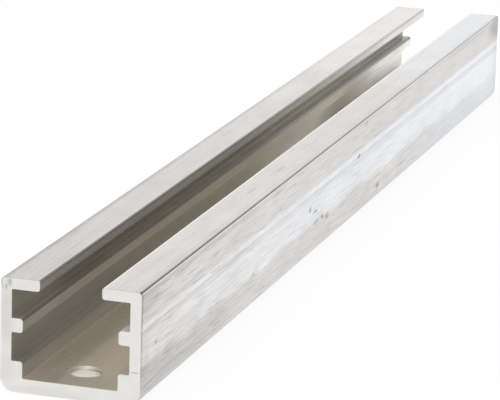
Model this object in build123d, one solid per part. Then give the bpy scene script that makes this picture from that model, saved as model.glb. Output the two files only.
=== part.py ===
"""Aluminium extrusion profile: a straight, slotted channel with a lipped mouth, cut square at both ends.

The section is one constant outline, drawn through a die: a floor with rounded outer corners, two side walls,
a ledge at the foot of each wall, a rib half way up it, and a lip that turns in over the channel.
Between ledge, rib and lip each wall keeps two tracks, one above the other, for nuts, bolt heads or sliders.
The floor is drilled near both ends for the screws that hold the profile down.

Millimetres. X is across the section, Y along the length and Z up. The origin is the middle of the base.
"""

import os

from build123d import *

# Cut piece
length = 250.0

# Section widths
mouth_width = 11.0  # gap between the two lips
channel_width = 17.0  # clear width between the two ribs, and between the two ledges
shelf_depth = 2.0  # how far ribs and ledges stand in from the wall
wall_thickness = 2.0

# Section heights, from the base upwards
floor_thickness = 2.5
ledge_height = 3.0
lower_track_height = 5.0
rib_thickness = 2.5
upper_track_height = 5.0
lip_thickness = 2.0

# Corner roundings
base_radius = 2.5  # outer corners of the floor
shoulder_radius = 0.7  # outer corners above the walls
tip_radius = 0.5  # free corners of lips, ribs and ledges
root_radius = 0.2  # inner corners, as the die leaves them

# Fixing holes in the floor
hole_diameter = 5.3
hole_chamfer = 0.5
hole_end_distance = 8.0  # from the cut end to the middle of the hole
hole_overrun = 1.0  # how far the drill runs out below the base

# Places across the section, from the middle outwards
half_mouth = mouth_width / 2
half_channel = channel_width / 2
half_track = half_channel + shelf_depth
half_width = half_track + wall_thickness

# Levels of the section, from the base upwards
floor_top = floor_thickness
ledge_top = floor_top + ledge_height
rib_bottom = ledge_top + lower_track_height
rib_top = rib_bottom + rib_thickness
lip_bottom = rib_top + upper_track_height
height = lip_bottom + lip_thickness


def section_face():
    """The die's outline in the XZ plane: the rounded corners of the right half, and their mirror image."""
    right_corners = [
        ((half_width, 0), base_radius),
        ((half_width, height), shoulder_radius),
        ((half_mouth, height), tip_radius),
        ((half_mouth, lip_bottom), tip_radius),
        ((half_track, lip_bottom), root_radius),
        ((half_track, rib_top), root_radius),
        ((half_channel, rib_top), tip_radius),
        ((half_channel, rib_bottom), tip_radius),
        ((half_track, rib_bottom), root_radius),
        ((half_track, ledge_top), root_radius),
        ((half_channel, ledge_top), tip_radius),
        ((half_channel, floor_top), root_radius),
    ]
    left_corners = [((-x, z), radius) for (x, z), radius in reversed(right_corners)]
    corners = right_corners + left_corners
    places = [place for place, _ in corners]
    radii = [radius for _, radius in corners]
    return Plane.XZ * make_face(FilletPolyline(*places, radius=radii, close=True))


def fixing_hole():
    """The cut of one fixing hole: a bore right through the floor, chamfered on the channel's side."""
    top_down = (Align.CENTER, Align.CENTER, Align.MAX)
    bore_radius = hole_diameter / 2
    bore = Cylinder(bore_radius, floor_thickness + hole_overrun, align=top_down)
    rim = Cone(bore_radius, bore_radius + hole_chamfer, hole_chamfer, align=top_down)
    return Pos(Z=floor_top) * (bore + rim)


def channel_profile():
    """The sawn length of extrusion, with a fixing hole near each end."""
    profile = extrude(section_face(), length / 2, both=True)
    hole_y = length / 2 - hole_end_distance
    for y in (-hole_y, hole_y):
        profile -= Pos(Y=y) * fixing_hole()
    return profile


os.makedirs("parts", exist_ok=True)
export_step(channel_profile(), "parts/channel_profile.step")
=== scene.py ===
import math

import bmesh
import bpy
from mathutils import Matrix, Vector, noise


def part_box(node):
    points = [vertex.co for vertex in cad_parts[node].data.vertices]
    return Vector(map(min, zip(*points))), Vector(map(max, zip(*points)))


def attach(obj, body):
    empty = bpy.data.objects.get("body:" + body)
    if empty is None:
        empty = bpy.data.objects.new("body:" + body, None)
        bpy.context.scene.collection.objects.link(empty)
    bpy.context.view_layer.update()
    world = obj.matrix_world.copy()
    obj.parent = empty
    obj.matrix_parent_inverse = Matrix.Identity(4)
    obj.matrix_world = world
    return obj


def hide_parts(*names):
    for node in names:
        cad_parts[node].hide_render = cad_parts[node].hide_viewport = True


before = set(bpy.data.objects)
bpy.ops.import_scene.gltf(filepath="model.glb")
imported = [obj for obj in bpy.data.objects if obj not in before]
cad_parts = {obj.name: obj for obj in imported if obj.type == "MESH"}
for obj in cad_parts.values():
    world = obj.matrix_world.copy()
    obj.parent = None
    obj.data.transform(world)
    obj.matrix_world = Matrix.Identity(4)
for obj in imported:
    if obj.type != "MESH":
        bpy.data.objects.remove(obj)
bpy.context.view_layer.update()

mm = 0.001
low, high = (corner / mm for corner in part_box("channel_profile"))  # the stock's corners, in millimetres
print("frame loaded, stock is", [round(size, 2) for size in high - low], "mm")


# a node's output with the usual operators, so that shader maths reads as maths
class Value:
    def __init__(self, tree, socket):
        self.tree = tree
        self.socket = socket

    def math(self, operation, *others):
        return self.tree.add("ShaderNodeMath", {"operation": operation}, dict(enumerate((self, *others))))

    def __add__(self, other):
        return self.math("ADD", other)

    def __sub__(self, other):
        return self.math("SUBTRACT", other)

    def __rsub__(self, other):
        return self * -1 + other

    def __mul__(self, other):
        return self.math("MULTIPLY", other)

    def __abs__(self):
        return self.math("ABSOLUTE")

    __radd__ = __add__
    __rmul__ = __mul__

    # first where this value is 0, second where it is 1
    def between(self, first, second):
        return self * (second - first) + first


class Tree:
    def __init__(self, owner):
        owner.use_nodes = True
        self.nodes = owner.node_tree.nodes
        self.links = owner.node_tree.links
        self.nodes.clear()

    # any node: its type, its settings, then the values or links of its sockets
    def add(self, kind, settings=None, sockets=None, output=0):
        node = self.nodes.new(kind)
        for name, setting in (settings or {}).items():
            setattr(node, name, setting)
        for name, value in (sockets or {}).items():
            if isinstance(value, Value):
                self.links.new(value.socket, node.inputs[name])
            else:
                node.inputs[name].default_value = value
        return Value(self, node.outputs[output]) if node.outputs else None

    def vectors(self, operation, *inputs, output=0):
        return self.add("ShaderNodeVectorMath", {"operation": operation}, dict(enumerate(inputs)), output)

    # the object's own coordinates, in millimetres
    def place(self):
        metres = self.add("ShaderNodeTexCoord", output="Object")
        return self.stretch(metres, (1 / mm, 1 / mm, 1 / mm))

    def stretch(self, vector, factors):
        return self.vectors("MULTIPLY", vector, factors)

    def axis(self, vector, name):
        return self.add("ShaderNodeSeparateXYZ", None, {0: vector}, output=name)

    # grain from 0 to 1: how many to the millimetre, the detail in each and how strong that detail is
    def grain(self, vector, perMillimetre, detail, roughness):
        sockets = {"Vector": vector, "Scale": perMillimetre, "Detail": detail, "Roughness": roughness}
        return self.add("ShaderNodeTexNoise", {"noise_dimensions": "3D"}, sockets)

    # the same grain about 0
    def swing(self, vector, perMillimetre, detail, roughness):
        return self.grain(vector, perMillimetre, detail, roughness) - 0.5

    # 0 below start, 1 above end, smooth between
    def rise(self, value, start, end):
        sockets = {"Value": value, "From Min": start, "From Max": end}
        return self.add("ShaderNodeMapRange", {"interpolation_type": "SMOOTHSTEP"}, sockets)

    # 1 within the band, fading to 0 on both sides
    def band(self, value, centre, halfWidth, fade):
        return 1 - self.rise(abs(value - centre), halfWidth, halfWidth + fade)

    # 1 in the core of an oval, fading to 0 at its rim
    def spot(self, vector, middle, reach, coreShare=0.3):
        offset = self.vectors("DIVIDE", self.vectors("SUBTRACT", vector, middle), reach)
        away = self.vectors("LENGTH", offset, output="Value")
        return 1 - self.rise(away, coreShare, 1)

    # the same place, pushed about by so many millimetres, for ragged marks
    def ragged(self, vector, perMillimetre, push):
        sockets = {"Vector": vector, "Scale": perMillimetre}
        colour = self.add("ShaderNodeTexNoise", {"noise_dimensions": "3D"}, sockets, output="Color")
        pushes = self.vectors("SUBTRACT", colour, (0.5, 0.5, 0.5))
        return self.vectors("MULTIPLY_ADD", pushes, (push, push, push), vector)

    def mix(self, factor, first, second):
        settings = {"data_type": "RGBA", "blend_type": "MIX"}
        return self.add("ShaderNodeMix", settings, {0: factor, 6: first, 7: second}, output=2)

    def scaleColour(self, colour, factor):
        return self.add("ShaderNodeVectorMath", {"operation": "SCALE"}, {0: colour, "Scale": factor})


# the drawn section, in millimetres
section = {
    "mouth": 11.0,  # between the lips
    "betweenRibs": 17.0,
    "shelfDepth": 2.0,  # ribs and ledges stand in from the wall by this
    "floorTop": 2.5,
    "ledgeTop": 5.5,
    "ribBottom": 10.5,
    "ribTop": 13.0,
    "lipBottom": 18.0,
    "radius": {"base": 2.5, "shoulder": 0.7, "lip": 0.3, "tip": 0.5, "root": 0.2},
    "segments": {"base": 18, "shoulder": 12, "lip": 8, "tip": 8, "root": 4},
    "lipTopFrom": (0.7, 0.4),  # below the highest point, where the walls give way to the lips' top
    "sharpAngle": 28,  # degrees, edges that turn more stay sharp
}

# marks that the die leaves along the whole length
dieLines = {
    "stripWidth": 0.14,
    "narrowestFlat": 1.2,  # flats narrower than this stay plain
    "broadDepth": 0.012,
    "fineDepth": 0.005,
    "broadPerMillimetre": 0.45,
    "finePerMillimetre": 2.6,
    "seed": 4.0,
    "groove": (12.95, 0.22, 0.03),  # along both sides: its height, half its width, its depth
}

# drilled holes in the floor
hole = {
    "radius": 2.65,
    "chamfer": 0.5,
    "endDistance": 8.0,
    "patch": 4.2,  # half the side of the square that the hole is worked into
    "inset": 0.3,  # from the square to the ring, before it is made round
    "segmentsPerSide": 16,
}

# sawn ends
sawCut = {
    "edge": 0.1,  # the saw's edge, broken by a file
    "edgeSegments": 3,
    "facing": 0.3,  # faces at an end that look along the length by this share or more are sawn
}

# knocks on the right wall: along the length from the near end, height, length, height of the dent, depth
dents = [
    (97.6, 10.1, 0.9, 0.60, 0.10),
    (101.3, 9.0, 1.7, 0.28, 0.10),
    (106.2, 6.8, 0.9, 0.40, 0.11),
    (109.3, 6.2, 1.5, 0.50, 0.09),
    (101.9, 6.7, 1.8, 0.45, 0.05),
    (131.6, 13.1, 1.0, 0.35, 0.11),
    (146.6, 3.5, 1.2, 0.60, 0.10),
    (61.7, 6.8, 0.9, 0.35, 0.05),
    (7.6, 9.4, 0.6, 0.40, 0.06),
    (136.8, 19.0, 1.6, 0.30, 0.06),
]
dentCuts = {
    "shares": (-1, -0.66, -0.33, 0, 0.33, 0.66, 1),  # of the dent's length, where it is cut across
    "wallDepth": 0.2,  # faces deeper than this under the right wall are left whole
    "facing": 0.9,  # and so are those that look sideways by less than this share
}

# limits of the mesh work: lengths in millimetres, then a share
limits = {
    "onCut": 0.0001,  # vertices this close to a cut lie on it
    "samePlace": 0.001,  # faces this close lie in one plane, and vertices this close are one
    "atBox": 0.01,  # what is this close to the stock's box lies on it
    "straight": 0.99,  # share of a unit normal, or of the length, that counts as all of it
}

finishes = ["drawnSkin", "channelInside", "sawnEnd", "drilledHole"]  # in the order of the material slots
finishMargins = {
    "inside": 0.1,  # the inside's finish runs this far past its corners
    "lipFace": 0.05,
}


def sectionCorners():
    half = high.x
    tip = section["mouth"] / 2
    rib = section["betweenRibs"] / 2
    track = rib + section["shelfDepth"]
    right = [
        (half, low.z, "base"),
        (half, high.z, "shoulder"),
        (tip, high.z, "lip"),
        (tip, section["lipBottom"], "tip"),
        (track, section["lipBottom"], "root"),
        (track, section["ribTop"], "root"),
        (rib, section["ribTop"], "tip"),
        (rib, section["ribBottom"], "tip"),
        (track, section["ribBottom"], "root"),
        (track, section["ledgeTop"], "root"),
        (rib, section["ledgeTop"], "tip"),
        (rib, section["floorTop"], "root"),
    ]
    return right + [(-x, z, kind) for x, z, kind in reversed(right)]


def isLong(edge):
    return abs(edge.verts[0].co.y - edge.verts[1].co.y) > (high.y - low.y) * limits["straight"]


# a corner's place, to the hundredth of a millimetre
def cornerKey(x, z):
    return round(x, 2), round(z, 2)


def drawSection(bm):
    corners = sectionCorners()
    face = bm.faces.new([bm.verts.new((x, low.y, z)) for x, z, kind in corners])
    drawn = bmesh.ops.extrude_face_region(bm, geom=[face], use_keep_orig=True)
    farVerts = [g for g in drawn["geom"] if isinstance(g, bmesh.types.BMVert)]
    bmesh.ops.translate(bm, vec=(0, high.y - low.y, 0), verts=farVerts)
    bmesh.ops.recalc_face_normals(bm, faces=bm.faces)
    for kind, radius in section["radius"].items():
        places = {cornerKey(x, z) for x, z, cornerKind in corners if cornerKind == kind}
        edges = [e for e in bm.edges if isLong(e) and cornerKey(*e.verts[0].co.xz) in places]
        bmesh.ops.bevel(bm, geom=edges, offset=radius, offset_type="OFFSET", profile=0.5,
                        segments=section["segments"][kind], affect="EDGES", material=-1)


def isFlatStrip(face):
    longEdges = [e for e in face.edges if isLong(e)]
    return len(longEdges) == 2 and face.calc_area() > dieLines["narrowestFlat"] * (high.y - low.y)


def sliceFaces(bm, faces, place, normal):
    # each part once, in an order that is the same at every run
    parts = list(dict.fromkeys(part for f in faces for part in (f, *f.edges, *f.verts)))
    cut = bmesh.ops.bisect_plane(bm, geom=parts, dist=limits["onCut"], plane_co=place, plane_no=normal)
    return [part for part in cut["geom"] if isinstance(part, bmesh.types.BMFace)]


def placeRing(disc, middle, radius):
    for vert in disc.verts:
        outward = Vector((vert.co.x - middle.x, vert.co.y - middle.y, 0)).normalized()
        vert.co = middle + outward * radius


def openRing(bm, middle, facing, radius):
    # cuts a square out of the floor's top or bottom face, and puts a round face into it
    side = hole["patch"]
    faces = [f for f in bm.faces if f.normal.z * facing > limits["straight"]
             and abs(f.calc_center_median().z - middle.z) < limits["samePlace"]]
    for place, normal in (((0, middle.y - side, 0), (0, 1, 0)), ((0, middle.y + side, 0), (0, 1, 0)),
                          ((-side, 0, 0), (1, 0, 0)), ((side, 0, 0), (1, 0, 0))):
        faces = sliceFaces(bm, faces, place, normal)
    square = min(faces, key=lambda f: (f.calc_center_median() - middle).length)
    edges = list(square.edges)
    bmesh.ops.delete(bm, geom=[square], context="FACES_ONLY")
    bmesh.ops.subdivide_edges(bm, edges=edges, cuts=hole["segmentsPerSide"] - 1)
    rim = [e for e in bm.edges if e.is_boundary]
    disc = bmesh.ops.edgeloop_fill(bm, edges=rim)["faces"][0]
    bmesh.ops.inset_individual(bm, faces=[disc], thickness=hole["inset"])
    placeRing(disc, middle, radius)
    return disc


def drillHole(bm, middleY):
    disc = openRing(bm, Vector((0, middleY, section["floorTop"])), 1, hole["radius"] + hole["chamfer"])
    for z in (section["floorTop"] - hole["chamfer"], low.z):
        disc = bmesh.ops.extrude_discrete_faces(bm, faces=[disc])["faces"][0]
        placeRing(disc, Vector((0, middleY, z)), hole["radius"])
        for face in [f for e in disc.edges for f in e.link_faces]:
            face.material_index = finishes.index("drilledHole")
    foot = openRing(bm, Vector((0, middleY, low.z)), -1, hole["radius"])
    seam = [*disc.verts, *foot.verts]
    bmesh.ops.delete(bm, geom=[disc, foot], context="FACES_ONLY")
    bmesh.ops.remove_doubles(bm, verts=seam, dist=limits["samePlace"])


def isOutside(face):
    middle = face.calc_center_median()
    return abs(middle.x) > high.x - limits["atBox"] or middle.z > high.z - limits["atBox"]


def drawDieLines(bm):
    # the walls and lips outside become lengthwise strips, each sunk a few microns by the die's wear
    flats = [f for f in bm.faces if isFlatStrip(f) and isOutside(f)]
    for number, face in enumerate(flats):
        normal = face.normal.copy()
        across = normal.cross(Vector((0, 1, 0)))
        short = [e for e in face.edges if not isLong(e)]
        strips = round(short[0].calc_length() / dieLines["stripWidth"])
        made = bmesh.ops.subdivide_edges(bm, edges=short, cuts=strips - 1, use_grid_fill=True)
        for vert in {g for g in made["geom_inner"] if isinstance(g, bmesh.types.BMVert)}:
            depth = dieDepth(vert.co.dot(across), number)
            if abs(normal.x) > limits["straight"]:
                depth += grooveDepth(vert.co.z)
            vert.co -= normal * depth


def dieDepth(place, number):
    broad = noise.noise(Vector((place * dieLines["broadPerMillimetre"], number, dieLines["seed"])))
    fine = noise.noise(Vector((place * dieLines["finePerMillimetre"], number, -dieLines["seed"])))
    depth = dieLines["broadDepth"] * (0.5 + 0.5 * broad) + dieLines["fineDepth"] * (0.5 + 0.5 * fine)
    return max(depth, 0)


def grooveDepth(height):
    middle, halfWidth, depth = dieLines["groove"]
    away = abs(height - middle) / halfWidth
    return depth * (1 - away) if away < 1 else 0


def isOnRightWall(face):
    depth = high.x - face.calc_center_median().x
    return face.normal.x > dentCuts["facing"] and depth < dentCuts["wallDepth"]


def knockDents(bm):
    for along, height, length, tall, depth in dents:
        middle = Vector((high.x, low.y + along, height))
        reach = tall + dieLines["stripWidth"]
        faces = [f for f in bm.faces if isOnRightWall(f) and abs(f.calc_center_median().z - height) < reach]
        for share in dentCuts["shares"]:
            faces = sliceFaces(bm, faces, middle + Vector((0, share * length, 0)), (0, 1, 0))
        for vert in {v for f in faces for v in f.verts}:
            away = Vector(((vert.co.y - middle.y) / length, (vert.co.z - middle.z) / tall)).length
            if away < 1:
                vert.co.x -= depth * (1 - away ** 2) ** 2


def openEnds(bm):
    # the strips are cut with the ends open, because cutting the many-sided end faces along is slow
    ends = [f for f in bm.faces if abs(f.calc_center_median().y) > high.y - limits["atBox"]]
    bmesh.ops.delete(bm, geom=ends, context="FACES_ONLY")


def sawEnds(bm):
    for y in (low.y, high.y):
        rim = [e for e in bm.edges if e.is_boundary and abs(e.verts[0].co.y - y) < limits["atBox"]]
        bmesh.ops.edgeloop_fill(bm, edges=rim)
        bmesh.ops.bevel(bm, geom=rim, offset=sawCut["edge"], offset_type="OFFSET", profile=0.5,
                        segments=sawCut["edgeSegments"], affect="EDGES", material=-1)


def nameFinishes(bm):
    margin = finishMargins["inside"]
    track = section["betweenRibs"] / 2 + section["shelfDepth"]
    tip = section["mouth"] / 2
    for face in bm.faces:
        middle = face.calc_center_median()
        isUnderLips = section["floorTop"] - margin < middle.z < section["lipBottom"] + margin
        isInside = isUnderLips and abs(middle.x) < track + margin
        isLipFace = middle.z > section["lipBottom"] and abs(middle.x) < tip + finishMargins["lipFace"]
        isAtEnd = abs(middle.y) > high.y - 2 * sawCut["edge"]
        if isAtEnd and abs(face.normal.y) > sawCut["facing"]:
            face.material_index = finishes.index("sawnEnd")
        elif face.material_index == finishes.index("drawnSkin") and (isInside or isLipFace):
            face.material_index = finishes.index("channelInside")


def makeChannel():
    bm = bmesh.new()
    drawSection(bm)
    for y in (low.y + hole["endDistance"], high.y - hole["endDistance"]):
        drillHole(bm, y)
    openEnds(bm)
    drawDieLines(bm)
    knockDents(bm)
    sawEnds(bm)
    bmesh.ops.recalc_face_normals(bm, faces=bm.faces)
    nameFinishes(bm)
    for face in bm.faces:
        face.smooth = True
    bmesh.ops.scale(bm, vec=(mm, mm, mm), verts=bm.verts)
    mesh = bpy.data.meshes.new("drawn_channel")
    bm.to_mesh(mesh)
    print("channel:", len(mesh.polygons), "faces, loose or open edges:",
          sum(not e.is_manifold for e in bm.edges))
    bm.free()
    mesh.set_sharp_from_angle(angle=math.radians(section["sharpAngle"]))
    piece = bpy.data.objects.new("drawn_channel", mesh)
    bpy.context.scene.collection.objects.link(piece)
    weighted = piece.modifiers.new("even shading", "WEIGHTED_NORMAL")
    weighted.keep_sharp = True
    return piece


# bare metal outside: what the die, the rollers and the other lengths in the bundle left on it, together with
# painted shade, painted highlights and a painted reflection
# grains, here and below: how many to the millimetre, the detail in each and how strong that detail is
skin = {
    "colour": (0.885, 0.870, 0.858, 1),
    "nearColour": (0.890, 0.868, 0.855, 1),
    "leftNearColour": (0.890, 0.850, 0.820, 1),  # the left lip's near end
    "rightFarColour": (0.872, 0.885, 0.905, 1),  # the right lip's far end
    "smoothColour": (0.866, 0.872, 0.890, 1),  # the band half way up the sides: fewer streaks, and a cooler, lighter tint that is a painted reflection
    "smoothFarColour": (0.880, 0.900, 0.940, 1),
    "smoothBand": (10.7, 3.2, 0.6),  # middle height, half width, fade
    "smoothFar": (60.0, 140.0),  # from the near end
    "smoothFoot": (150.0, 220.0),  # where the band's painted reflection reaches down to the foot
    "smoothFootBelow": (13.9, 14.5),  # height, where that ends
    "smoothWaver": 3.0,  # how far blotches push its lower edge up and down
    "waverBelow": (8.0, 11.0),  # height, where they stop pushing
    "smoothStreaks": 0.75,  # share of the streaks that the band leaves
    "roughness": 0.24,
    "roughnessSpread": 0.15,
    "lengthStretch": 0.045,  # streaks run this much slower along the length than across it
    "fineGrain": (2.6, 4.0, 0.65),
    "fineShade": 0.34,
    "broadGrain": (0.55, 1.0, 0.5),
    "broadShade": 0.20,
    "hairStretch": 0.025,
    "hairGrain": (4.5, 1.0, 0.5),
    "hairsFrom": (0.54, 0.68),  # grain below the first is bare, above the second a full hair
    "hairShade": 0.25,
    "speckGrain": (1.6, 2.0, 0.5),
    "specksFrom": (0.60, 0.72),
    "speckShade": 0.12,
    "lipStreaks": 0.65,  # share of the streaks that the lips show
    "lipWear": 0.6,  # share of the hairs and specks among them
    "blotchGrain": (0.10, 3.0, 0.5),
    "blotchShade": 0.20,
    "nearLength": 60.0,
    "nearStreaks": 1.35,  # streaks are this much stronger at the near end
    "farFrom": (150.0, 230.0),  # from the near end
    "farStreaks": 0.35,
    "rightFrom": (-1.0, 1.0),  # across, between the two lips
    "sideShade": (0.96, 0.865),  # painted shade: the right wall, and its darker near end
    "leftLipShade": (0.835, 0.865),  # painted shade on the lips: at the near end, and where the brighter last part starts
    "rightLipShade": (0.95, 0.885),
    "lipBrightFrom": (160.0, 190.0),  # from the near end, where the lips turn brighter
    "rightMouth": (5.70, 0.20, 0.30),  # the matt edge of the right lip: middle, half width, fade
    "rightMouthColour": (0.86, 0.825, 0.78, 1),
    "rightMouthMetal": 0.4,
    "raggedPerMillimetre": 1.3,
    "raggedPush": 1.2,
    "dentShade": 5.5,  # painted shade in each dent: darkening for each millimetre of depth
    "dentSpread": 1.4,
    "dentReach": 1.5,  # how deep under the wall its grime goes
    "markReach": 1.0,  # and that of the marks
    "bump": 0.000006,
}

# painted shade in stripes along the side walls, a darker foot and top and darker lines by the groove and
# under the shoulder: middle height, half width, fade, then shade at the near and the far end
sideStripes = [
    (2.5, 3.4, 1.8, 0.75, 0.88),
    (12.45, 0.5, 0.25, 0.93, 0.86),
    (12.98, 0.07, 0.16, 0.86, 0.95),
    (17.3, 2.6, 1.0, 0.84, 0.77),
    (19.45, 0.1, 0.15, 0.85, 0.75),
]

# painted shade and a painted highlight along the lips, darker on the left shoulder, the left mouth and on
# and beside the right shoulder, lighter just inside it: the same, with the place across the section first
lipStripes = [
    (-12.10, 0.20, 0.20, 0.55, 1.05),
    (-11.60, 0.20, 0.50, 0.80, 0.95),
    (-5.58, 0.05, 0.05, 0.40, 0.55),
    (11.45, 0.15, 0.30, 0.90, 0.98),
    (11.98, 0.12, 0.10, 1.30, 1.00),
    (12.30, 0.06, 0.06, 0.16, 0.50),
]

# scuffs, with painted glints beside them and patches of painted shade and light, on the right wall: middle
# along from the near end and up, reach in that order, shade
sideMarks = [
    ((0.0, 16.0), (1.3, 14.0), 0.55),
    ((1.5, 8.0), (4.5, 6.5), 0.90),
    ((3.0, 17.5), (9.0, 3.5), 0.86),
    ((7.0, 15.2), (6.0, 2.2), 1.10),
    ((20.0, 3.0), (22.0, 1.2), 0.89),
    ((24.0, 8.2), (12.0, 2.5), 0.91),
    ((40.0, 19.0), (75.0, 0.8), 0.84),
    ((48.0, 8.5), (9.0, 4.0), 0.92),
    ((48.0, 13.0), (10.0, 1.6), 0.86),
    ((50.0, 16.3), (10.0, 2.5), 0.92),
    ((70.0, 3.8), (35.0, 4.0), 1.09),
    ((91.5, 1.7), (14.0, 1.5), 1.10),
    ((91.6, 8.3), (0.9, 0.4), 0.86),
    ((96.2, 10.7), (0.6, 0.35), 1.14),
    ((99.5, 9.6), (0.7, 0.30), 1.14),
    ((99.7, 11.2), (2.2, 0.5), 0.92),
    ((102.5, 7.3), (6.0, 1.6), 0.92),
    ((103.7, 8.8), (0.8, 0.30), 1.12),
    ((106.6, 7.5), (0.8, 0.30), 1.10),
    ((141.7, 16.4), (1.0, 0.3), 0.75),
    ((222.0, 19.2), (40.0, 1.0), 0.88),
    ((249.0, 17.7), (11.0, 3.5), 0.57),
    ((250.0, 10.0), (6.0, 14.0), 0.88),
]

# the same on the lips: middle across and along, reach in that order, shade
lipMarks = [
    ((-11.0, 28.5), (2.0, 9.0), 0.92),
    ((-8.9, 150.0), (4.0, 15.0), 1.09),
    ((8.8, 71.0), (0.5, 4.5), 0.80),
    ((8.8, 89.0), (0.5, 3.5), 0.82),
]

# the channel's inside keeps a warm, duller oxide, with painted shade and painted light over it
inside = {
    "colour": (0.835, 0.815, 0.768, 1),
    "farColour": (0.835, 0.818, 0.785, 1),
    "floorColour": (0.875, 0.814, 0.710, 1),
    "tipColour": (0.835, 0.815, 0.790, 1),  # the faces of the lips
    "farLength": 190.0,
    # painted light: the inside is lighter towards the far end
    "farShade": 1.09,
    "floorBelow": (2.6, 2.8),  # height, where the floor's look gives way to that of the walls
    "wallFrom": (9.0, 9.6),  # across, behind ribs and ledges
    "tipFrom": (17.9, 18.1),  # height
    "tipWithin": (6.0, 6.6),  # across
    "rightFrom": (8.0, 8.6),  # across
    "rightLedgeBelow": (5.6, 6.0),  # height
    "roughness": (0.65, 0.38),  # near and far
    "roughnessFar": (80.0, 190.0),  # from the near end
    "roughnessSpread": 0.15,
    "wallShade": (0.86, 0.95),  # painted shade on the walls behind ribs and ledges, near and far
    # painted shade and light on the lips' faces: dark at the near end, bright at the far end
    "tipShade": (0.61, 1.15),
    "tipFar": (85.0, 185.0),  # from the near end
    "mouthShade": 0.7,  # painted shade on the upper edges of the lips' faces
    "floorShade": (0.92, 1.10),  # painted shade and light on the floor, left and right
    "floorFrom": (-3.9, -1.5),  # across, where the lighter right part starts
    "rightMetal": 0.6,
    "endLength": 14.0,
    "endShade": 0.84,  # painted shade at the near end, below the ribs' top
    "endBelow": (12.5, 13.0),  # height
    "lengthStretch": 0.02,
    "streakGrain": (1.2, 2.0, 0.5),
    "streakShade": 0.20,
    "floorStreaks": 0.5,  # share of the streaks that the floor shows
    "speckGrain": (1.1, 4.0, 0.7),
    "specksFrom": (0.58, 0.72),
    "speckShade": 0.36,
    "bump": 0.000006,
}

# painted shade and light in stripes along the inside, on the floor's edge, ledges, ribs and walls: middle
# height, half width, fade, then shade at the near and the far end
insideStripes = [
    (2.66, 0.10, 0.05, 0.92, 0.96),
    (3.8, 1.1, 0.12, 0.91, 0.95),
    (5.26, 0.225, 0.015, 0.70, 0.72),
    (6.8, 0.8, 3.2, 0.87, 1.00),
    (9.6, 0.2, 1.8, 1.00, 1.06),
    (10.80, 0.20, 0.10, 0.88, 1.15),
    (11.75, 0.7, 0.4, 0.95, 1.02),
    (12.76, 0.17, 0.10, 0.46, 0.56),
    (13.02, 0.05, 0.05, 0.95, 1.25),
    (15.50, 2.45, 0.04, 0.70, 0.54),
]

# patches of painted light and shade on the inside: middle across, along and up, reach in that order, shade
insidePatches = [
    ((-10.0, 14.0, 14.0), (3.0, 14.0, 2.0), 1.18),
    ((-10.0, 162.0, 9.5), (6.0, 38.0, 8.0), 1.25),
    ((-10.0, 168.0, 13.6), (3.0, 32.0, 2.4), 0.84),
    ((-10.0, 199.0, 8.0), (6.0, 12.0, 6.0), 0.91),
    ((-10.0, 205.0, 8.0), (6.0, 35.0, 8.0), 0.68),
    ((-10.0, 219.0, 9.5), (6.0, 12.0, 4.0), 1.15),
    ((-10.0, 240.0, 5.5), (6.0, 24.0, 5.0), 0.76),
    ((-10.0, 240.0, 13.3), (6.0, 34.0, 1.4), 0.66),
    ((-8.5, 237.0, 11.5), (1.5, 9.0, 1.6), 0.86),
    ((-5.5, 241.0, 19.0), (1.5, 22.0, 2.0), 0.80),
    ((1.0, 1.0, 2.5), (9.0, 9.0, 1.0), 0.86),
    ((9.5, 3.0, 14.0), (2.0, 8.0, 3.0), 1.12),
]

# fresh metal where the saw went through
sawn = {
    "colour": (0.838, 0.832, 0.808),
    "roughness": 0.45,
    "roughnessSpread": 0.2,
    "scratchStretch": (0.06, 1.0, 1.0),
    "scratchGrain": (5.0, 2.0, 0.5),
    "scratchShade": 0.10,
    "mottleGrain": (0.5, 3.0, 0.5),
    "mottleShade": 0.12,
    "burrStretch": (1.0, 1.0, 0.2),  # the torn left corner is drawn out upwards
    "burrGrain": (3.0, 2.0, 0.5),
    "burrsFrom": (0.42, 0.66),
    "markReach": 2.0,  # how deep into the end a mark goes
    "bump": 0.000008,
}

# marks on the near end: middle across and up, reach in that order, shade, and whether it is torn
sawnMarks = [
    ((-11.6, 19.2), (1.6, 1.8), 0.55, True),
    ((11.5, 6.05), (1.0, 0.16), 0.60, False),
    ((-11.5, 13.0), (2.0, 8.0), 0.90, False),
    ((-11.5, 4.0), (2.0, 4.0), 0.93, False),
    ((-4.0, 0.5), (9.0, 1.5), 0.93, False),
]

# turned metal of the holes and their chamfers
drilled = {
    "colour": (0.88, 0.85, 0.79, 1),
    "chamferColour": (0.88, 0.84, 0.77, 1),
    "chamferMetal": 0.75,
    "roughness": 0.30,
    "chamferRoughness": 0.44,
    "edgeLine": (1.97, 0.03, 0.06),  # height of the drill's edge under the chamfer, half its width, its fade
    "edgeShade": (0.85, 0.28),  # painted shade along the drill's edge, on the left and on the right
    "edgeFrom": (-1.2, 0.4),  # across, where it darkens
    "chamferFade": 0.1,  # above the edge
    "ringStretch": (0.15, 0.15, 1.0),
    "ringGrain": (7.0, 1.0, 0.5),
    "ringShade": 0.32,
    "bump": 0.000008,
}


def metal(tree, colour, shade, roughness, relief, bump, metallic=1.0):
    normal = tree.add("ShaderNodeBump", None, {"Strength": 1.0, "Distance": bump, "Height": relief})
    shader = tree.add("ShaderNodeBsdfPrincipled", None, {
        "Base Color": tree.scaleColour(colour, shade), "Metallic": metallic,
        "Roughness": roughness, "Normal": normal})
    tree.add("ShaderNodeOutputMaterial", None, {"Surface": shader})


# shade of stripes that run along the whole length, one number at the near end and one at the far end
def stripes(tree, place, far, table):
    shade = 1
    for middle, halfWidth, fade, nearShade, farShade in table:
        stripe = tree.band(place, middle, halfWidth, fade)
        shade = stripe.between(1, far.between(nearShade, farShade)) * shade
    return shade


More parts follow.
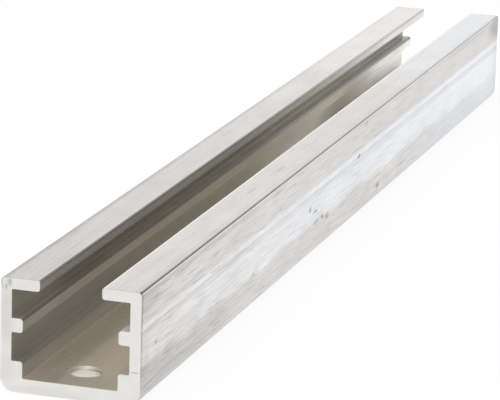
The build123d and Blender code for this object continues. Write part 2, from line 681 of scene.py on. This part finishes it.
# where a point lies: across the section, along it from the near end, and up
def bearings(tree, place):
    return tree.axis(place, "X"), tree.axis(place, "Y") - low.y, tree.axis(place, "Z")


# 1 on the lips' top and its edges, 0 below
def lipTop(tree, height):
    start, end = section["lipTopFrom"]
    return tree.rise(height, high.z - start, high.z - end)


def drawnSkin(tree):
    place = tree.place()
    across, along, height = bearings(tree, place)
    near = 1 - tree.rise(along, 0, skin["nearLength"])
    far = tree.rise(along, 0, high.y - low.y)
    atFarEnd = tree.rise(along, *skin["farFrom"])
    onTop = lipTop(tree, height)
    onRight = tree.rise(across, *skin["rightFrom"])
    blotches = tree.swing(place, *skin["blotchGrain"])
    waver = blotches * skin["smoothWaver"] * (1 - tree.rise(height, *skin["waverBelow"]))
    smooth = tree.band(height + waver, *skin["smoothBand"])

    streaked = tree.stretch(place, (1, skin["lengthStretch"], 1))
    fine = tree.swing(streaked, *skin["fineGrain"])
    broad = tree.swing(streaked, *skin["broadGrain"])
    drawnOut = tree.stretch(place, (1, skin["hairStretch"], 1))
    hairs = tree.rise(tree.grain(drawnOut, *skin["hairGrain"]), *skin["hairsFrom"])
    specks = tree.rise(tree.grain(place, *skin["speckGrain"]), *skin["specksFrom"])
    dark = (hairs * skin["hairShade"] + specks * skin["speckShade"]) * onTop.between(1, skin["lipWear"])
    wear = fine * skin["fineShade"] + broad * skin["broadShade"] - dark
    wear = wear * near.between(1, skin["nearStreaks"]) * smooth.between(1, skin["smoothStreaks"])
    wear = wear * atFarEnd.between(1, skin["farStreaks"]) * onTop.between(1, skin["lipStreaks"])
    shade = 1 + wear + blotches * skin["blotchShade"]

    # painted shade: the right wall darker at its near end and in stripes along it
    side = near.between(*skin["sideShade"]) * stripes(tree, height + waver, far, sideStripes)
    # painted shade: the lips darker before their brighter last part, with painted shade and a painted
    # highlight in stripes
    lipRamp = tree.rise(along, 0, skin["lipBrightFrom"][0])
    lips = onRight.between(lipRamp.between(*skin["leftLipShade"]), lipRamp.between(*skin["rightLipShade"]))
    lips = tree.rise(along, *skin["lipBrightFrom"]).between(lips, 1) * stripes(tree, across, far, lipStripes)
    shade = shade * onTop.between(side, lips)

    ragged = tree.ragged(place, skin["raggedPerMillimetre"], skin["raggedPush"])
    # painted shade in each dent, deeper dents darker
    for distance, up, length, tall, depth in dents:
        reach = (skin["dentReach"], length * skin["dentSpread"], tall * skin["dentSpread"])
        dent = tree.spot(ragged, (high.x, low.y + distance, up), reach)
        shade = shade * dent.between(1, 1 - depth * skin["dentShade"])
    # scuffs, painted glints and patches of painted shade and light
    for (distance, up), (length, tall), markShade in sideMarks:
        mark = tree.spot(ragged, (high.x, low.y + distance, up), (skin["markReach"], length, tall))
        shade = shade * mark.between(1, markShade)
    for (x, distance), (wide, length), markShade in lipMarks:
        mark = tree.spot(ragged, (x, low.y + distance, high.z), (wide, length, skin["markReach"]))
        shade = shade * mark.between(1, markShade)

    colour = tree.mix(near, skin["colour"], skin["nearColour"])
    colour = tree.mix(near * onTop * (1 - onRight), colour, skin["leftNearColour"])
    colour = tree.mix(atFarEnd * onTop * onRight, colour, skin["rightFarColour"])
    # painted reflection: a cooler, lighter tint on the band half way up the sides, and at the far end down
    # to the foot
    bandReflection = tree.mix(tree.rise(along, *skin["smoothFar"]), skin["smoothColour"], skin["smoothFarColour"])
    foot = tree.rise(along, *skin["smoothFoot"]) * (1 - tree.rise(height, *skin["smoothFootBelow"]))
    colour = tree.mix(smooth * (1 - near), colour, bandReflection)
    colour = tree.mix(foot, colour, bandReflection)
    mouth = tree.band(across, *skin["rightMouth"]) * onTop
    colour = tree.mix(mouth, colour, skin["rightMouthColour"])
    shade = mouth.between(shade, 1)
    roughness = fine * skin["roughnessSpread"] + skin["roughness"]
    metallic = mouth.between(1, skin["rightMouthMetal"])
    metal(tree, colour, shade, roughness, fine + broad, skin["bump"], metallic)


def channelInside(tree):
    place = tree.place()
    across, along, height = bearings(tree, place)
    far = tree.rise(along, 0, inside["farLength"])
    onFloor = 1 - tree.rise(height, *inside["floorBelow"])
    onWall = tree.rise(abs(across), *inside["wallFrom"])
    onTip = tree.rise(height, *inside["tipFrom"]) * (1 - tree.rise(abs(across), *inside["tipWithin"]))
    onRight = tree.rise(across, *inside["rightFrom"])
    onRightLedge = onRight * (1 - tree.rise(height, *inside["rightLedgeBelow"]))
    atEnd = (1 - tree.rise(along, 0, inside["endLength"])) * (1 - tree.rise(height, *inside["endBelow"]))

    streaked = tree.stretch(place, (1, inside["lengthStretch"], 1))
    streaks = tree.swing(streaked, *inside["streakGrain"])
    specks = tree.rise(tree.grain(place, *inside["speckGrain"]), *inside["specksFrom"])
    shade = 1 + streaks * onFloor.between(1, inside["floorStreaks"]) * inside["streakShade"]
    shade = shade * (1 + specks * onFloor * inside["speckShade"])
    # painted shade and light: lighter towards the far end, stripes, darker walls, lips' faces dark near and
    # bright far, darker upper edges, floor lighter on the right, darker at the near end, and patches
    shade = shade * far.between(1, inside["farShade"]) * stripes(tree, height, far, insideStripes)
    shade = shade * onWall.between(1, far.between(*inside["wallShade"]))
    shade = shade * onTip.between(1, tree.rise(along, *inside["tipFar"]).between(*inside["tipShade"]))
    shade = shade * lipTop(tree, height).between(1, inside["mouthShade"])
    floorShade = tree.rise(across, *inside["floorFrom"]).between(*inside["floorShade"])
    shade = shade * onFloor.between(1, floorShade)
    shade = shade * (atEnd * (1 - onFloor)).between(1, inside["endShade"])
    for (x, distance, up), reach, patchShade in insidePatches:
        patch = tree.spot(place, (x, low.y + distance, up), reach)
        shade = shade * patch.between(1, patchShade)

    colour = tree.mix(far, inside["colour"], inside["farColour"])
    colour = tree.mix(onFloor, colour, inside["floorColour"])
    colour = tree.mix(onRightLedge, colour, inside["floorColour"])
    colour = tree.mix(onTip, colour, inside["tipColour"])
    roughness = tree.rise(along, *inside["roughnessFar"]).between(*inside["roughness"])
    roughness = streaks * inside["roughnessSpread"] + roughness
    metallic = onRight.between(1, inside["rightMetal"])
    metal(tree, colour, shade, roughness, streaks, inside["bump"], metallic)


def sawnEnd(tree):
    place = tree.place()
    scratched = tree.stretch(place, sawn["scratchStretch"])
    scratches = tree.swing(scratched, *sawn["scratchGrain"])
    mottle = tree.swing(place, *sawn["mottleGrain"])
    shade = 1 + scratches * sawn["scratchShade"] + mottle * sawn["mottleShade"]
    tornPlace = tree.stretch(place, sawn["burrStretch"])
    burrs = tree.rise(tree.grain(tornPlace, *sawn["burrGrain"]), *sawn["burrsFrom"])
    for (x, z), (wide, tall), markShade, isTorn in sawnMarks:
        mark = tree.spot(place, (x, low.y, z), (wide, sawn["markReach"], tall))
        shade = shade * (mark * burrs if isTorn else mark).between(1, markShade)
    roughness = scratches * sawn["roughnessSpread"] + sawn["roughness"]
    metal(tree, sawn["colour"], shade, roughness, scratches, sawn["bump"])


def drilledHole(tree):
    place = tree.place()
    across, _, height = bearings(tree, place)
    rings = tree.swing(tree.stretch(place, drilled["ringStretch"]), *drilled["ringGrain"])
    edge = tree.band(height, *drilled["edgeLine"])
    edgeShade = tree.rise(across, *drilled["edgeFrom"]).between(*drilled["edgeShade"])
    edgeHeight = drilled["edgeLine"][0]
    chamfer = tree.rise(height, edgeHeight, edgeHeight + drilled["chamferFade"])
    # painted shade along the drill's edge, darker on the right
    shade = (1 + rings * drilled["ringShade"]) * edge.between(1, edgeShade)
    colour = tree.mix(chamfer, drilled["colour"], drilled["chamferColour"])
    roughness = chamfer.between(drilled["roughness"], drilled["chamferRoughness"])
    metallic = chamfer.between(1, drilled["chamferMetal"])
    metal(tree, colour, shade, roughness, rings, drilled["bump"], metallic)


channel = makeChannel()
for name, paint in zip(finishes, (drawnSkin, channelInside, sawnEnd, drilledHole)):
    material = bpy.data.materials.new(name)
    paint(Tree(material))
    channel.data.materials.append(material)
print("finishes:", ", ".join(finishes))
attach(channel, "root")
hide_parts("channel_profile")

# where the photograph was taken from
camera = {
    "place": (0.18465, -0.61974, 0.17452),  # metres
    "yaw": 17.290,  # degrees to the left of +Y
    "pitch": 14.777,  # degrees down
    "roll": 1.725,
    "focalPixels": 3309.7,
    "imageWidth": 500,
    "sensor": 36.0,  # millimetres wide
    "clip": (0.01, 50.0),  # metres
}


def makeCamera():
    data = bpy.data.cameras.new("camera")
    data.sensor_width = camera["sensor"]
    data.lens = camera["focalPixels"] / camera["imageWidth"] * camera["sensor"]
    data.clip_start, data.clip_end = camera["clip"]
    body = bpy.data.objects.new("camera", data)
    turn = (Matrix.Rotation(math.radians(camera["yaw"]), 4, "Z")
            @ Matrix.Rotation(math.radians(90 - camera["pitch"]), 4, "X")
            @ Matrix.Rotation(math.radians(camera["roll"]), 4, "Z"))
    body.matrix_world = Matrix.Translation(camera["place"]) @ turn
    bpy.context.scene.collection.objects.link(body)
    bpy.context.scene.camera = body


makeCamera()
print("camera placed")

# a pale floor before a white backdrop, with a darker room above and soft light overhead
studio = {
    "floorSize": 12.0,  # metres
    "floorDrop": 0.0002,  # below the part
    "floorColour": (0.9, 0.9, 0.9, 1),
    "floorWhiteSeen": 0.93,  # share of the floor that is plain white to the camera
    "floorWhiteReflected": 0.75,  # and in the metal
    "horizon": (1.0, 1.0, 1.0, 1),
    "room": (0.37, 0.357, 0.335, 1),
    "overhead": (1.0, 0.98, 0.94, 1),
    "roomFrom": (0.30, 0.42),  # sines of the heights where the white backdrop gives way to the room
    "overheadFrom": (0.70, 0.90),
    "sunStrength": 2.0,  # for the floor, because the metal does not mirror it
    "sunTurn": (35, -20, 0),  # degrees
    "sunSpread": 60,
}


def makeFloor():
    bm = bmesh.new()
    bmesh.ops.create_grid(bm, x_segments=1, y_segments=1, size=studio["floorSize"] / 2)
    bmesh.ops.translate(bm, vec=(0, 0, -studio["floorDrop"]), verts=bm.verts)
    mesh = bpy.data.meshes.new("floor")
    bm.to_mesh(mesh)
    bm.free()
    floor = bpy.data.objects.new("floor", mesh)
    bpy.context.scene.collection.objects.link(floor)
    material = bpy.data.materials.new("studioFloor")
    tree = Tree(material)
    seen = tree.add("ShaderNodeLightPath", output="Is Camera Ray")
    reflected = tree.add("ShaderNodeLightPath", output="Is Glossy Ray")
    through = tree.add("ShaderNodeLightPath", output="Is Transmission Ray")
    under = tree.add("ShaderNodeNewGeometry", output="Backfacing")
    white = tree.add("ShaderNodeEmission", None, {"Color": (1, 1, 1, 1), "Strength": 1.0})
    matte = tree.add("ShaderNodeBsdfDiffuse", None, {"Color": studio["floorColour"]})
    share = seen * studio["floorWhiteSeen"] + (reflected + through) * studio["floorWhiteReflected"]
    shown = tree.add("ShaderNodeMixShader", None, {0: share, 1: matte, 2: white})
    clear = tree.add("ShaderNodeBsdfTransparent")
    shown = tree.add("ShaderNodeMixShader", None, {0: under, 1: shown, 2: clear})
    tree.add("ShaderNodeOutputMaterial", None, {"Surface": shown})
    floor.data.materials.append(material)


def makeWorld():
    world = bpy.data.worlds.new("studio")
    bpy.context.scene.world = world
    tree = Tree(world)
    direction = tree.add("ShaderNodeTexCoord", output="Generated")
    climb = tree.axis(direction, "Z")
    colour = tree.mix(tree.rise(climb, *studio["roomFrom"]), studio["horizon"], studio["room"])
    colour = tree.mix(tree.rise(climb, *studio["overheadFrom"]), colour, studio["overhead"])
    light = tree.add("ShaderNodeBackground", None, {"Color": colour, "Strength": 1.0})
    tree.add("ShaderNodeOutputWorld", None, {"Surface": light})


def makeSun():
    data = bpy.data.lights.new("sun", "SUN")
    data.energy = studio["sunStrength"]
    data.angle = math.radians(studio["sunSpread"])
    lamp = bpy.data.objects.new("sun", data)
    lamp.rotation_euler = [math.radians(turn) for turn in studio["sunTurn"]]
    lamp.visible_glossy = False
    bpy.context.scene.collection.objects.link(lamp)


makeFloor()
makeWorld()
makeSun()
print("studio lit")

bpy.context.scene.view_settings.view_transform = "Standard"
